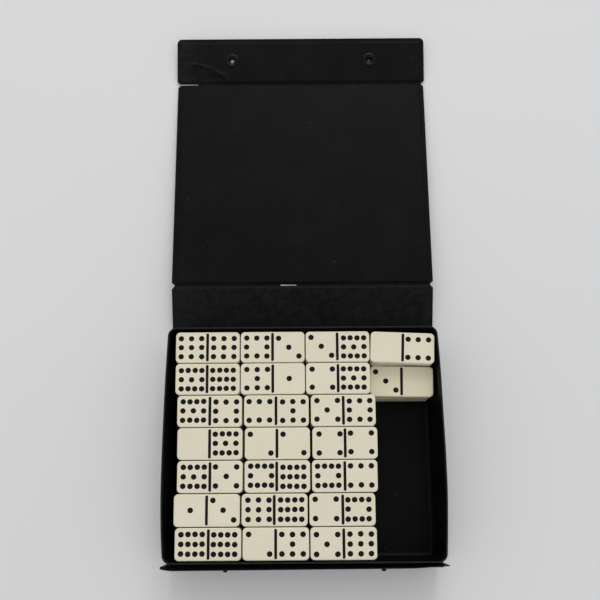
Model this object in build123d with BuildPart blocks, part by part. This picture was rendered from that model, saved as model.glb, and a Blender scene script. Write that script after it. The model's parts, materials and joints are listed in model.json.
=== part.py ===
from build123d import *

import os
from math import asin, cos, degrees, radians, sin, sqrt, tan

# Domino storage box: a thin plastic tray of domino tiles, held in a wrap-around
# cover of five stiffened vinyl panels. Front and bottom panels stay with the tray.
# The spine, the lid and the flap fold over it, and two snaps close the flap.
# Millimetres. +X right, +Y towards the spine, +Z up; the origin is the centre of
# the bottom panel's underside. The cover is drawn lying open.

# ---- domino tiles
tile_length = 49.2
tile_width = 24.1
tile_thickness = 9.0
tile_corner = 3.2
tile_edge = 0.7
tile_layers = 4
row_gap = 0.7                  # between one row and the next
middle_row_y = -0.6
# Seven rows from the back: how many tiles lie side by side, where the first one
# starts from the tray's left wall, and the free gap between one tile and the next.
row_tiles = (4, 4, 3, 3, 3, 3, 3)
row_start = (4.2, 4.4, 6.2, 6.7, 7.0, 5.0, 6.2)
tile_gap = (0.8, 0.7, 1.6, 1.8, 1.4, 1.3, 1.0)
# The fourth stacks of the first two rows stand a little forward with their top
# tiles askew, and the second of them is one tile short.
loose_forward = (1.2, 1.2)
loose_turn = (-2.8, -1.3)
short_stack = (1, 3)

# ---- tray
tray_wall = 1.6
tray_floor = 1.6
tray_end_room = 1.1            # free at each end of the seven rows
tray_side_room = 3.8           # free at each side of four tiles
tray_splay = 1.0               # how much further out each side wall is in front
tray_bow = 2.6                 # how far a side wall bulges at the rim
tray_bow_place = 0.66          # where it bulges most, from rear to front
tray_foot_bow = 0.1            # the same at the floor
tray_corner = 7.0
tray_draft = 0.6
tray_foot_radius = 1.2
rim_over_tiles = 1.5

# ---- cover panels: a board between two plies of vinyl, welded round the edge
cover_past_tray = 2.0          # bottom and front panel, past the tray at each side
lid_past_cover = 0.8           # spine and lid, past the bottom panel at each side
flap_past_cover = 1.6
board_thickness = 2.0
ply = 0.4
weld_ply = 0.3                 # a ply pressed thin in the weld
side_margin = 4.5              # board edge to panel edge
hinge_margin = 2.4             # board edge to fold line
fold_gap = 0.8                 # between two neighbouring panels at their fold
fold_notch = 2.4               # corner cut off at a fold line
front_corner = 2.4
flap_corner = 4.0
ply_edge = 0.3
front_height = 40.0
flap_length = 40.6

# ---- how the cover lies and closes
tray_to_front = 0.6
tray_to_spine = 0.3
rim_to_lid = 0.6
spine_rise = 15.0              # degrees above level, lying open
flap_rise = 7.0                # degrees above level, lying open
table_gap = 0.02

# ---- snaps
snap_spacing = 120.4
snap_from_fold = 20.9
snap_flange_radius = 6.1
stud_flange = 0.8
stud_height = 4.2
stud_radius = 1.9
stud_neck_radius = 1.5
stud_tip_radius = 1.0
socket_proud = 0.6
socket_bore_radius = 2.5
socket_barrel_radius = 3.4
snap_running_gap = 0.3
cap_rim = 0.45
cap_rise = 0.85
cap_top_radius = 2.6
rivet_radius = 1.3
rivet_flange_radius = 4.0
rivet_flange = 0.4
hole_clearance = 0.05

# ---- worked out from the values above
row_pitch = tile_width + row_gap
tray_depth = len(row_tiles) * row_pitch + 2 * (tray_end_room + tray_wall)
tray_rear_width = max(row_tiles) * tile_length + 2 * (tray_side_room + tray_wall)
tray_front_width = tray_rear_width + 2 * tray_splay
# A tile's corner is cut in flats that touch the arc of its radius: the first at
# 45 degrees, the next two halfway between that flat and the sides.
corner_flat = tile_corner * (2 - sqrt(2))
corner_side_flat = tile_corner * (tan(radians(45 / 2)) - tan(radians(45 / 4)))
cover_width = tray_front_width + 2 * cover_past_tray
lid_width = cover_width + 2 * lid_past_cover
flap_width = cover_width + 2 * flap_past_cover
half_panel = board_thickness / 2 + ply
floor_z = 2 * half_panel + tray_floor
tiles_top_z = floor_z + tile_layers * tile_thickness
rim_z = tiles_top_z + rim_over_tiles
front_plane_y = -(tray_depth / 2 + tray_to_front + half_panel)
base_fold_y = tray_depth / 2 + tray_to_spine + half_panel
fold_z = half_panel
spine_length = rim_z + rim_to_lid + half_panel - fold_z
snap_stack = stud_flange + snap_running_gap + socket_proud
closed_flap_y = front_plane_y - half_panel - snap_stack - half_panel
lid_length = base_fold_y - closed_flap_y
lid_fold_y = base_fold_y + spine_length * cos(radians(spine_rise))
lid_fold_z = fold_z + spine_length * sin(radians(spine_rise))
lid_drop = degrees(asin((lid_fold_z - half_panel - table_gap) / lid_length))
flap_fold_y = lid_fold_y + lid_length * cos(radians(lid_drop))
flap_fold_z = lid_fold_z - lid_length * sin(radians(lid_drop))
snap_z = fold_z + spine_length - snap_from_fold


def panel_plane(y, z, rise):
    """Plane of a panel whose first fold line is at y, z; local +Y runs away from the fold."""
    tilt = radians(rise)
    return Plane(origin=(0, y, z), x_dir=(1, 0, 0), z_dir=(0, -sin(tilt), cos(tilt)))


bottom_plane = panel_plane(front_plane_y, fold_z, 0)
front_plane = Plane(origin=(0, front_plane_y, fold_z), x_dir=(-1, 0, 0), z_dir=(0, 1, 0))
spine_plane = panel_plane(base_fold_y, fold_z, spine_rise)
lid_plane = panel_plane(lid_fold_y, lid_fold_z, -lid_drop)
flap_plane = panel_plane(flap_fold_y, flap_fold_z, flap_rise)

os.makedirs("parts", exist_ok=True)


def save(piece, name):
    """Names one finished piece and writes it."""
    piece.label = name
    export_step(piece, f"parts/{name}.step")


def tray_outline(inset, bow, y_inset):
    """Plan of the tray: straight back and front, side walls as one long arc each."""
    rear = tray_rear_width / 2 - inset
    front = tray_front_width / 2 - inset
    half = tray_depth / 2 - y_inset
    bow_y = half - 2 * half * tray_bow_place
    bow_x = rear + (front - rear) * tray_bow_place + bow
    with BuildLine() as line:
        Line((-rear, half), (rear, half))
        ThreePointArc((rear, half), (bow_x, bow_y), (front, -half))
        Line((front, -half), (-front, -half))
        ThreePointArc((-front, -half), (-bow_x, bow_y), (-rear, half))
    make_face(line.edges())


def tray_body(inset, low, high, straight, corner, mode):
    """Lofts the tray from its straight-sided floor up to its bowed rim."""
    with BuildSketch(Plane.XY.offset(low)) as foot:
        tray_outline(inset + tray_draft, straight, inset + tray_draft)
        fillet(foot.vertices(), corner)
    with BuildSketch(Plane.XY.offset(high)) as rim:
        tray_outline(inset, tray_bow, inset)
        fillet(rim.vertices(), corner)
    loft(sections=[foot.sketch.faces()[0], rim.sketch.faces()[0]], ruled=True, mode=mode)


def make_tray():
    """One thin shell: floor, four drafted walls, rounded corners."""
    with BuildPart() as tray:
        tray_body(0, floor_z - tray_floor, rim_z, tray_foot_bow, tray_corner, Mode.ADD)
        fillet(tray.faces().sort_by(Axis.Z)[0].edges(), tray_foot_radius)
        tray_body(tray_wall, floor_z, rim_z, tray_foot_bow, tray_corner - tray_wall, Mode.SUBTRACT)
    save(tray.part, "tray")


def make_board(name, plane, width, length, far_margin, holes=(), hole_radius=0):
    """The stiff board inside a panel, from the fold margin to the far margin."""
    with BuildPart() as board:
        with BuildSketch(plane.offset(-board_thickness / 2)):
            with Locations((0, (hinge_margin + length - far_margin) / 2)):
                Rectangle(width - 2 * side_margin, length - far_margin - hinge_margin)
            for hole in holes:
                with Locations(hole):
                    Circle(hole_radius, mode=Mode.SUBTRACT)
        extrude(amount=board_thickness)
    save(board.part, name)


def make_ply(name, plane, side, width, length, end, holes=(), hole_radius=0):
    """One vinyl ply: pressed flat in the weld round the edge, raised over the board."""
    far_margin, far_edge, far_corner = end
    board_width = width - 2 * side_margin
    board_length = length - far_margin - hinge_margin
    board_middle = (0, (hinge_margin + length - far_margin) / 2)
    pocket_depth = board_thickness / 2
    first_edge = fold_gap / 2
    with BuildPart() as skin:
        with BuildSketch(plane) as weld:
            with Locations((0, (first_edge + length - far_edge) / 2)):
                Rectangle(width, length - far_edge - first_edge)
            chamfer(weld.vertices().group_by(Axis.Y)[0], fold_notch)
            if far_corner:
                fillet(weld.vertices().group_by(Axis.Y)[-1], far_corner)
            else:
                chamfer(weld.vertices().group_by(Axis.Y)[-1], fold_notch)
        extrude(amount=side * weld_ply)
        with BuildSketch(plane):
            with Locations(board_middle):
                Rectangle(board_width + 2 * ply, board_length + 2 * ply)
        extrude(amount=side * (pocket_depth + ply))
        outwards = Axis(plane.origin, plane.z_dir * side)
        chamfer(skin.faces().sort_by(outwards)[-1].edges(), ply_edge)
        with BuildSketch(plane):
            with Locations(board_middle):
                Rectangle(board_width, board_length)
        extrude(amount=side * pocket_depth, mode=Mode.SUBTRACT)
        if holes:
            with BuildSketch(plane):
                with Locations(*holes):
                    Circle(hole_radius)
            extrude(amount=side * (pocket_depth + ply), mode=Mode.SUBTRACT)
    save(skin.part, name)


def make_panel(name, plane, width, length, end, holes=(), hole_radius=0):
    """A whole cover panel: board, lining ply on the inside, outer ply on the outside."""
    make_board(f"{name}_board", plane, width, length, end[0], holes, hole_radius)
    make_ply(f"{name}_lining_ply", plane, 1, width, length, end, holes, hole_radius)
    make_ply(f"{name}_outer_ply", plane, -1, width, length, end, holes, hole_radius)


def snap_profile_plane(centre, outwards):
    """Plane through a snap's axis: local X is the radius and local Y the height."""
    return Plane(origin=centre, x_dir=(1, 0, 0), z_dir=Vector(1, 0, 0).cross(outwards))


def make_stud(name, centre, outwards):
    """The snap's male half: a flange and a post with a neck under a pointed head."""
    plane = snap_profile_plane(centre, outwards)
    neck_step = stud_radius - stud_neck_radius
    head_top = stud_height - (stud_radius - stud_tip_radius)
    with BuildPart() as stud:
        with BuildSketch(plane):
            with BuildLine() as line:
                Polyline(
                    (0, 0),
                    (snap_flange_radius, 0),
                    (snap_flange_radius, stud_flange),
                    (stud_neck_radius, stud_flange),
                    (stud_neck_radius, head_top - 2 * neck_step),
                    (stud_radius, head_top - neck_step),
                    (stud_radius, head_top),
                    (stud_tip_radius, stud_height),
                    (0, stud_height),
                    close=True,
                )
            make_face(line.edges())
        revolve(axis=Axis(plane.origin, plane.y_dir))
    save(stud.part, name)


def make_rivet(name, centre, outwards):
    """Holds a stud from behind: a thin flange and a shank through the panel."""
    plane = snap_profile_plane(centre, outwards)
    with BuildPart() as rivet:
        with BuildSketch(plane):
            with BuildLine() as line:
                Polyline(
                    (0, -rivet_flange),
                    (rivet_flange_radius, -rivet_flange),
                    (rivet_flange_radius, 0),
                    (rivet_radius, 0),
                    (rivet_radius, 2 * half_panel),
                    (0, 2 * half_panel),
                    close=True,
                )
            make_face(line.edges())
        revolve(axis=Axis(plane.origin, plane.y_dir))
    save(rivet.part, name)


def make_socket(name, centre, outwards):
    """The snap's female half: a ring on the lining with an open barrel through the flap."""
    plane = snap_profile_plane(centre, outwards)
    with BuildPart() as socket:
        with BuildSketch(plane):
            with BuildLine() as line:
                Polyline(
                    (socket_bore_radius, -2 * half_panel),
                    (socket_barrel_radius, -2 * half_panel),
                    (socket_barrel_radius, 0),
                    (snap_flange_radius, 0),
                    (snap_flange_radius, socket_proud),
                    (socket_bore_radius, socket_proud),
                    close=True,
                )
            make_face(line.edges())
        revolve(axis=Axis(plane.origin, plane.y_dir))
    save(socket.part, name)


def make_cap(name, centre, outwards):
    """The low button on the flap's outside that the socket is clenched to."""
    plane = snap_profile_plane(centre, outwards)
    with BuildPart() as cap:
        with BuildSketch(plane):
            with BuildLine() as line:
                Polyline(
                    (0, 0),
                    (snap_flange_radius, 0),
                    (snap_flange_radius, cap_rim),
                    (cap_top_radius, cap_rim + cap_rise),
                    (0, cap_rim + cap_rise),
                    close=True,
                )
            make_face(line.edges())
        revolve(axis=Axis(plane.origin, plane.y_dir))
    save(cap.part, name)


def make_front_snaps():
    """A stud and its rivet near each end of the front panel."""
    for side, name in ((-1, "left"), (1, "right")):
        x = side * snap_spacing / 2
        outside = (x, front_plane_y - half_panel, snap_z)
        inside = (x, front_plane_y + half_panel, snap_z)
        make_stud(f"snap_stud_{name}", outside, Vector(0, -1, 0))
        make_rivet(f"snap_rivet_{name}", inside, Vector(0, -1, 0))


def make_flap_snaps():
    """A socket and its cap near each end of the flap."""
    for side, name in ((-1, "left"), (1, "right")):
        x = side * snap_spacing / 2
        inside = flap_plane.from_local_coords((x, snap_from_fold, half_panel))
        outside = flap_plane.from_local_coords((x, snap_from_fold, -half_panel))
        make_socket(f"snap_socket_{name}", inside, flap_plane.z_dir)
        make_cap(f"snap_cap_{name}", outside, -flap_plane.z_dir)


def stack_place(row, column):
    """Centre of a stack of tiles in plan."""
    left_wall = tray_wall - tray_rear_width / 2
    x = left_wall + row_start[row] + tile_length / 2 + column * (tile_length + tile_gap[row])
    y = middle_row_y + (len(row_tiles) // 2 - row) * row_pitch
    if column == short_stack[1]:
        y -= loose_forward[row]
    return x, y


def stack_height(row, column):
    """How many tiles a stack holds."""
    return tile_layers - 1 if (row, column) == short_stack else tile_layers


def stacks():
    """Every stack as row, column."""
    return [(row, column) for row, count in enumerate(row_tiles) for column in range(count)]


def make_lower_tiles():
    """The tiles under the top ones, one node for each layer, corners cut in one flat."""
    with BuildSketch() as tile_plan:
        Rectangle(tile_length, tile_width)
        chamfer(tile_plan.vertices(), corner_flat)
    for layer in range(1, tile_layers):
        with BuildPart() as tiles:
            with BuildSketch(Plane.XY.offset(floor_z + (layer - 1) * tile_thickness)):
                for row, column in stacks():
                    if stack_height(row, column) > layer:
                        with Locations(stack_place(row, column)):
                            add(tile_plan.sketch)
            extrude(amount=tile_thickness)
        save(tiles.part, f"tiles_layer_{layer}")


def make_top_tile(row, column):
    """One tile on top of its stack: corners cut in three flats, upper edge eased."""
    x, y = stack_place(row, column)
    turn = loose_turn[row] if column == short_stack[1] else 0
    low = floor_z + (stack_height(row, column) - 1) * tile_thickness
    with BuildPart() as tile:
        with BuildSketch(Plane.XY.offset(low)) as plan:
            with Locations(Location((x, y, 0), (0, 0, turn))):
                Rectangle(tile_length, tile_width)
            chamfer(plan.vertices(), corner_flat)
            chamfer(plan.vertices(), corner_side_flat)
        extrude(amount=tile_thickness)
        chamfer(tile.faces().sort_by(Axis.Z)[-1].edges(), tile_edge)
    save(tile.part, f"tile_row_{row + 1}_place_{column + 1}")


# Each panel's far end: board margin, free edge, and corner radius if it isn't a fold.
folded_end = (hinge_margin, fold_gap / 2, 0)
front_end = (side_margin, 0, front_corner)
flap_end = (side_margin, 0, flap_corner)
stud_holes = [(side * snap_spacing / 2, snap_z - fold_z) for side in (-1, 1)]
socket_holes = [(side * snap_spacing / 2, snap_from_fold) for side in (-1, 1)]
rivet_hole = rivet_radius + hole_clearance
barrel_hole = socket_barrel_radius + hole_clearance

make_tray()
make_panel("bottom", bottom_plane, cover_width, base_fold_y - front_plane_y, folded_end)
make_panel("front", front_plane, cover_width, front_height, front_end, stud_holes, rivet_hole)
make_panel("spine", spine_plane, lid_width, spine_length, folded_end)
make_panel("lid", lid_plane, lid_width, lid_length, folded_end)
make_panel("flap", flap_plane, flap_width, flap_length, flap_end, socket_holes, barrel_hole)
make_front_snaps()
make_flap_snaps()
make_lower_tiles()
for row, column in stacks():
    make_top_tile(row, column)

print(f"tile tops {tiles_top_z:.2f}, rim {rim_z:.2f}, spine {spine_length:.2f}, lid {lid_length:.2f}")
print(f"base fold y {base_fold_y:.3f} z {fold_z:.3f}")
print(f"lid fold y {lid_fold_y:.3f} z {lid_fold_z:.3f}, lid drop {lid_drop:.3f}")
print(f"flap fold y {flap_fold_y:.3f} z {flap_fold_z:.3f}, snap z {snap_z:.3f}")
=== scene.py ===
# %% [markdown]
# # A domino storage box
# A snap-closing case lies open on a pale table. Its cover is one strip of black vinyl, two plies
# thick, welded round five stiff boards, and a thin black tray of ivory tiles stands on one of them.
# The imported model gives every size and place. This script makes the surfaces that are seen.

# %% Load the frame
import json
from math import cos, pi, radians, sin, sqrt

import bpy
import numpy as np
from mathutils import Matrix, Vector


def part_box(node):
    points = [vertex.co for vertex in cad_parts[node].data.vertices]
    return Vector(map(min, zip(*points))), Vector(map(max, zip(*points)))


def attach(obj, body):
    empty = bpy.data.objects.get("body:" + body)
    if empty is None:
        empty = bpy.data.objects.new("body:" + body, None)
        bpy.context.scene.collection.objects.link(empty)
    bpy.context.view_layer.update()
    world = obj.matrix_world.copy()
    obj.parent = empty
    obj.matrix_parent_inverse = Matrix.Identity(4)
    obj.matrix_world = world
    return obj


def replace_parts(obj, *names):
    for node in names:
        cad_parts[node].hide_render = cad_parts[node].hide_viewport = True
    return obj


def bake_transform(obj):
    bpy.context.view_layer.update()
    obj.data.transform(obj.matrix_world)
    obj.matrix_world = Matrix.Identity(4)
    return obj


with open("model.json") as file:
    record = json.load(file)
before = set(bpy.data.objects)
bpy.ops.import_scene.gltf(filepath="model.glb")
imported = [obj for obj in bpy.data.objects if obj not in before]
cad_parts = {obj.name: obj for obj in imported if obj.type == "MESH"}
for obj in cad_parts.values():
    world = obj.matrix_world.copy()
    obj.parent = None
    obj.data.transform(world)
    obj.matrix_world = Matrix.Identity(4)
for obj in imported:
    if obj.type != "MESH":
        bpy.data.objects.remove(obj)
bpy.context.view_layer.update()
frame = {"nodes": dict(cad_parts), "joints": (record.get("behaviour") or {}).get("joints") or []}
MM = 0.001

# %% [markdown]
# ## Where things are
# The three folds are hinge joints. Their ranges close the case exactly, so the angle at which each
# panel lies open follows from them, and no angle is typed twice. The other sizes are read from
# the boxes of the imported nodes.

# %% Folds and panels
joints = {joint["name"]: joint for joint in frame["joints"]}
fold = {name: Vector(joint["pos_m"]) for name, joint in joints.items()}
travel = {name: joint["range_deg"][1] for name, joint in joints.items()}
spine_rise = 90 - travel["spine_fold"]
lid_rise = 180 - travel["spine_fold"] - travel["lid_fold"]
flap_rise = 90 - travel["flap_fold"] + lid_rise


def extent(node, axis):
    """Lowest and highest value of a node along one axis, 0 for x, 1 for y and 2 for z."""
    low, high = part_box(node)
    return low[axis], high[axis]


front_y = sum(extent("front_board", 1)) / 2
base_z = fold["spine_fold"].z
flap_length = (extent("flap_outer_ply", 1)[1] - fold["flap_fold"].y) / cos(radians(flap_rise))
front_height = extent("front_outer_ply", 2)[1] - base_z


def panel_facts(name, start, rise, length, far_fold):
    """A panel's plane and size: it starts at a fold line and rises by an angle from level."""
    low, high = extent(f"{name}_outer_ply", 0)
    tilt = radians(rise)
    return {
        "name": name,
        "start": np.array(start),
        "along": np.array([0, cos(tilt), sin(tilt)]),
        "up": np.array([0, -sin(tilt), cos(tilt)]),
        "width": high - low,
        "length": length,
        "far_fold": far_fold,
    }


front_foot = (0, front_y, base_z)
panels = {
    "bottom": panel_facts("bottom", front_foot, 0, fold["spine_fold"].y - front_y, True),
    "front": panel_facts("front", front_foot, 90, front_height, False),
    "spine": panel_facts("spine", fold["spine_fold"], spine_rise,
                         (fold["lid_fold"] - fold["spine_fold"]).length, True),
    "lid": panel_facts("lid", fold["lid_fold"], lid_rise,
                       (fold["flap_fold"] - fold["lid_fold"]).length, True),
    "flap": panel_facts("flap", fold["flap_fold"], flap_rise, flap_length, False),
}
for panel in panels.values():
    print(panel["name"], "is", round(panel["width"] / MM, 1), "by", round(panel["length"] / MM, 1), "mm")

# %% [markdown]
# ## The camera
# The photograph looks down on the case from a little in front of it. A shifted lens keeps the far
# edge nearly as wide as the near one, so the camera stays close to upright over the case.

# %% Camera
FRAME_PIXELS = 600
focal_pixels = 680
horizon_shift_pixels = 100
camera_place = Vector((-2.61, -44.73, 552.13)) * MM
camera_tilt = radians(8.562)
camera_roll = radians(-0.404)


def make_camera():
    """A camera that looks along (0, sin tilt, -cos tilt) and is then rolled about that line."""
    data = bpy.data.cameras.new("camera")
    data.sensor_width = 36
    data.lens = data.sensor_width * focal_pixels / FRAME_PIXELS
    data.shift_y = horizon_shift_pixels / FRAME_PIXELS
    data.clip_start = 0.01
    right = Vector((1, 0, 0))
    up = Vector((0, cos(camera_tilt), sin(camera_tilt)))
    back = Vector((0, -sin(camera_tilt), cos(camera_tilt)))
    rolled_right = cos(camera_roll) * right + sin(camera_roll) * up
    rolled_up = cos(camera_roll) * up - sin(camera_roll) * right
    camera = bpy.data.objects.new("camera", data)
    bpy.context.scene.collection.objects.link(camera)
    camera.matrix_world = Matrix((
        (rolled_right.x, rolled_up.x, back.x, camera_place.x),
        (rolled_right.y, rolled_up.y, back.y, camera_place.y),
        (rolled_right.z, rolled_up.z, back.z, camera_place.z),
        (0, 0, 0, 1),
    ))
    bpy.context.scene.camera = camera
    print("lens", round(data.lens, 1), "mm")


make_camera()
bpy.context.scene.view_settings.view_transform = "Standard"

# %% [markdown]
# ## Shader groups
# Four effects come back in several materials: an embossed grain, marks from handling, worn edges
# and settled dust. Each is a node group with named inputs and outputs. A small helper adds nodes
# and joins them, so that a material reads as a list of steps.

# %% Node helpers


class Wiring:
    """Adds nodes to a node tree and links them."""

    def __init__(self, tree):
        self.tree = tree

    def add(self, kind, settings=None, **inputs):
        """Adds a node. Inputs are given by socket name, with _ for a blank, as a value or a link."""
        node = self.tree.nodes.new(kind)
        for key, value in (settings or {}).items():
            setattr(node, key, value)
        for key, value in inputs.items():
            name = key.replace("_", " ")
            self.put(next(s for s in node.inputs if s.name == name and s.enabled), value)
        return node

    def put(self, socket, value):
        """Links a socket if the value is one, and otherwise sets it."""
        if isinstance(value, bpy.types.NodeSocket):
            self.tree.links.new(value, socket)
        else:
            socket.default_value = value

    def math(self, operation, first, second, clamp=False):
        """One step of arithmetic on two numbers."""
        node = self.add("ShaderNodeMath", {"operation": operation, "use_clamp": clamp})
        self.put(node.inputs[0], first)
        self.put(node.inputs[1], second)
        return node.outputs[0]

    def between(self, value, low, high, new_low=0.0, new_high=1.0):
        """Maps a value smoothly from one range to another and stops at its ends."""
        limits = {"From_Min": low, "From_Max": high, "To_Min": new_low, "To_Max": new_high}
        smoothly = {"interpolation_type": "SMOOTHSTEP"}
        return self.add("ShaderNodeMapRange", smoothly, Value=value, **limits).outputs["Result"]

    def mix(self, share, first, second):
        """Mixes two colours."""
        node = self.add("ShaderNodeMix", {"data_type": "RGBA"})
        self.put(node.inputs["Factor"], share)
        self.put(node.inputs[6], first)
        self.put(node.inputs[7], second)
        return node.outputs[2]

    def noise(self, place, scale, detail=2.0, roughness=0.5):
        """Smooth noise from 0 to 1."""
        look = {"Scale": scale, "Detail": detail, "Roughness": roughness}
        return self.add("ShaderNodeTexNoise", Vector=place, **look).outputs["Fac"]

    def drawn_out(self, place, ratio, turn=0.0):
        """Coordinates squeezed across one direction, so that a pattern on them runs along it."""
        node = self.add("ShaderNodeMapping", Vector=place, Rotation=(0.0, 0.0, turn),
                        Scale=(1.0, ratio, ratio))
        return node.outputs[0]

    def carried(self, name):
        """A value that the mesh carries at each of its points."""
        return self.add("ShaderNodeAttribute", {"attribute_name": name}).outputs["Fac"]

    def group(self, tree, **inputs):
        """Places a node group and fills its named sockets, with _ for a blank."""
        return self.add("ShaderNodeGroup", {"node_tree": tree}, **inputs).outputs


# %% [markdown]
# A group hides its nodes behind named sockets. So each effect is wired once, and every material
# gives it values of its own.

# %% Group helper


def grey(value):
    """A grey as red, green, blue and an alpha of 1."""
    return (value, value, value, 1.0)


def new_group(name, inputs, outputs):
    """A shader node group on coordinates, with more named sockets.

    Returns its wiring, the sockets that bring values in and the sockets that take them out."""
    tree = bpy.data.node_groups.new(name, "ShaderNodeTree")
    kinds = {"value": "NodeSocketFloat", "colour": "NodeSocketColor"}
    tree.interface.new_socket("Coordinates", in_out="INPUT", socket_type="NodeSocketVector")
    for socket_name, kind, default in inputs:
        socket = tree.interface.new_socket(socket_name, in_out="INPUT", socket_type=kinds[kind])
        socket.default_value = default
    for socket_name, kind in outputs:
        tree.interface.new_socket(socket_name, in_out="OUTPUT", socket_type=kinds[kind])
    given, out = tree.nodes.new("NodeGroupInput"), tree.nodes.new("NodeGroupOutput")
    return Wiring(tree), given.outputs, out.inputs


print("a middle grey:", grey(0.5))

# %% [markdown]
# ### Embossed grain
# Vinyl for covers is rolled against an engraved cylinder, which leaves small rounded pebbles with
# creases between them. Cell noise gives the pebbles, and a second, finer noise roughens their tops.
# The group puts out a height between 0 and 1 for a Bump node.

# %% Embossed grain group


def make_grain_group():
    """Height is the distance to a cell's centre, rounded off, with a share of fine noise on it.

    The coordinates are first shifted by a coarser noise, so that the cells aren't too even."""
    inputs = [("Pebbles per metre", "value", 1100.0), ("Fine share", "value", 0.2)]
    wiring, given, out = new_group("embossed grain", inputs, [("Height", "value")])
    place = given["Coordinates"]
    bent = wiring.add("ShaderNodeTexNoise", Vector=place, Scale=700.0, Detail=1.0)
    shift = wiring.add("ShaderNodeVectorMath", {"operation": "SCALE"}, Scale=0.0007)
    wiring.put(shift.inputs[0], bent.outputs["Color"])
    shifted = wiring.add("ShaderNodeVectorMath", {"operation": "ADD"})
    wiring.put(shifted.inputs[0], place)
    wiring.put(shifted.inputs[1], shift.outputs[0])
    cells = wiring.add("ShaderNodeTexVoronoi", {"feature": "SMOOTH_F1"}, Vector=shifted.outputs[0],
                       Scale=given["Pebbles per metre"])
    pebble = wiring.between(cells.outputs["Distance"], 0.15, 0.75, 1.0, 0.0)
    fine = wiring.math("MULTIPLY", wiring.noise(place, scale=5200.0), given["Fine share"])
    wiring.put(out["Height"], wiring.math("ADD", pebble, fine))
    return wiring.tree


grain_group = make_grain_group()
print(grain_group.name, "gives a height")

# %% [markdown]
# ### Handling marks
# A black surface that has been handled is never one black. Broad, faint clouds are a little
# lighter and rougher, and thin streaks run one way where things have slid over it.

# %% Handling marks group


def make_marks_group():
    """Clouds are soft noise, streaks are noise stretched twelve times along one direction."""
    inputs = [("Colour", "colour", grey(0)), ("Rubbed colour", "colour", grey(0)),
              ("Amount", "value", 0.5), ("Roughness", "value", 0.5)]
    outputs = [("Colour", "colour"), ("Roughness", "value")]
    wiring, given, out = new_group("handling marks", inputs, outputs)
    place = given["Coordinates"]
    clouds = wiring.between(wiring.noise(place, scale=28.0, detail=4.0, roughness=0.6), 0.42, 0.72)
    along = wiring.drawn_out(place, 12.0, turn=0.5)
    streaks = wiring.between(wiring.noise(along, scale=40.0, detail=3.0, roughness=0.6), 0.58, 0.78)
    both = wiring.math("ADD", wiring.math("MULTIPLY", clouds, 0.75),
                       wiring.math("MULTIPLY", streaks, 0.35))
    share = wiring.math("MULTIPLY", both, given["Amount"], clamp=True)
    rougher = wiring.math("MULTIPLY", share, 0.12)
    wiring.put(out["Colour"], wiring.mix(share, given["Colour"], given["Rubbed colour"]))
    wiring.put(out["Roughness"], wiring.math("ADD", given["Roughness"], rougher))
    return wiring.tree


marks_group = make_marks_group()
print(marks_group.name, "gives a colour and a roughness")

# %% [markdown]
# ### Worn edges, and painted light
# Edges and rims wear first. Each mesh says how near a point is to such an edge, in an attribute
# from 0 to 1, and noise breaks the wear up, so that it isn't a drawn line. The same group also
# carries painted light: a brown painted shade on the tiles' sides, and a painted lightening and
# sheen on the vinyl lining.

# %% Worn edges and painted light group


def make_wear_and_painted_light_group():
    """Wear is the given nearness, less a share of noise, taken smoothly to 0 or 1."""
    inputs = [("Nearness", "value", 0.0), ("Colour", "colour", grey(0)),
              ("Bare colour", "colour", grey(0)), ("Amount", "value", 0.5)]
    outputs = [("Colour", "colour"), ("Wear", "value")]
    wiring, given, out = new_group("worn edges and painted light", inputs, outputs)
    noise = wiring.noise(given["Coordinates"], scale=160.0, detail=5.0, roughness=0.65)
    left_over = wiring.math("SUBTRACT", given["Nearness"], wiring.math("MULTIPLY", noise, 0.9))
    edge_amount = wiring.between(left_over, 0.0, 0.5)
    share = wiring.math("MULTIPLY", edge_amount, given["Amount"], clamp=True)
    wiring.put(out["Colour"], wiring.mix(share, given["Colour"], given["Bare colour"]))
    wiring.put(out["Wear"], share)
    return wiring.tree


wear_and_painted_light_group = make_wear_and_painted_light_group()
print(wear_and_painted_light_group.name, "gives a colour and the wear")

# %% [markdown]
# ### Settled dust
# Lint and dust lie as specks. A cell pattern with a tiny radius round each centre gives them, and
# a broad noise leaves most of the surface clean.

# %% Settled dust group


def make_dust_group():
    """A speck lies round a cell's centre, in some of the cells, where a broad noise is high."""
    inputs = [("Colour", "colour", grey(0)), ("Dust colour", "colour", grey(0)),
              ("Amount", "value", 0.5)]
    wiring, given, out = new_group("settled dust", inputs, [("Colour", "colour")])
    place = given["Coordinates"]
    cells = wiring.add("ShaderNodeTexVoronoi", Vector=place, Scale=210.0).outputs
    speck = wiring.between(cells["Distance"], 0.05, 0.13, 1.0, 0.0)
    chosen = wiring.between(cells["Color"], 0.62, 0.9)
    region = wiring.between(wiring.noise(place, scale=34.0, detail=2.0), 0.5, 0.62)
    seen = wiring.math("MULTIPLY", wiring.math("MULTIPLY", speck, chosen), region)
    share = wiring.math("MULTIPLY", seen, given["Amount"], clamp=True)
    wiring.put(out["Colour"], wiring.mix(share, given["Colour"], given["Dust colour"]))
    return wiring.tree


dust_group = make_dust_group()
print(dust_group.name, "gives a colour")

# %% [markdown]
# ## Materials
# Each material starts from object coordinates, passes its colour through the groups with its own
# values, and ends in a Principled BSDF. Numbers that don't change over a surface are set on the
# shader itself, and those that do come in through links.

# %% Material helpers


def new_material(name):
    """A node material. Returns it with its wiring, its shader and its object coordinates."""
    material = bpy.data.materials.new(name)
    material.use_nodes = True
    wiring = Wiring(material.node_tree)
    shader = material.node_tree.nodes["Principled BSDF"]
    return material, wiring, shader, wiring.add("ShaderNodeTexCoord").outputs["Object"]


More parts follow.
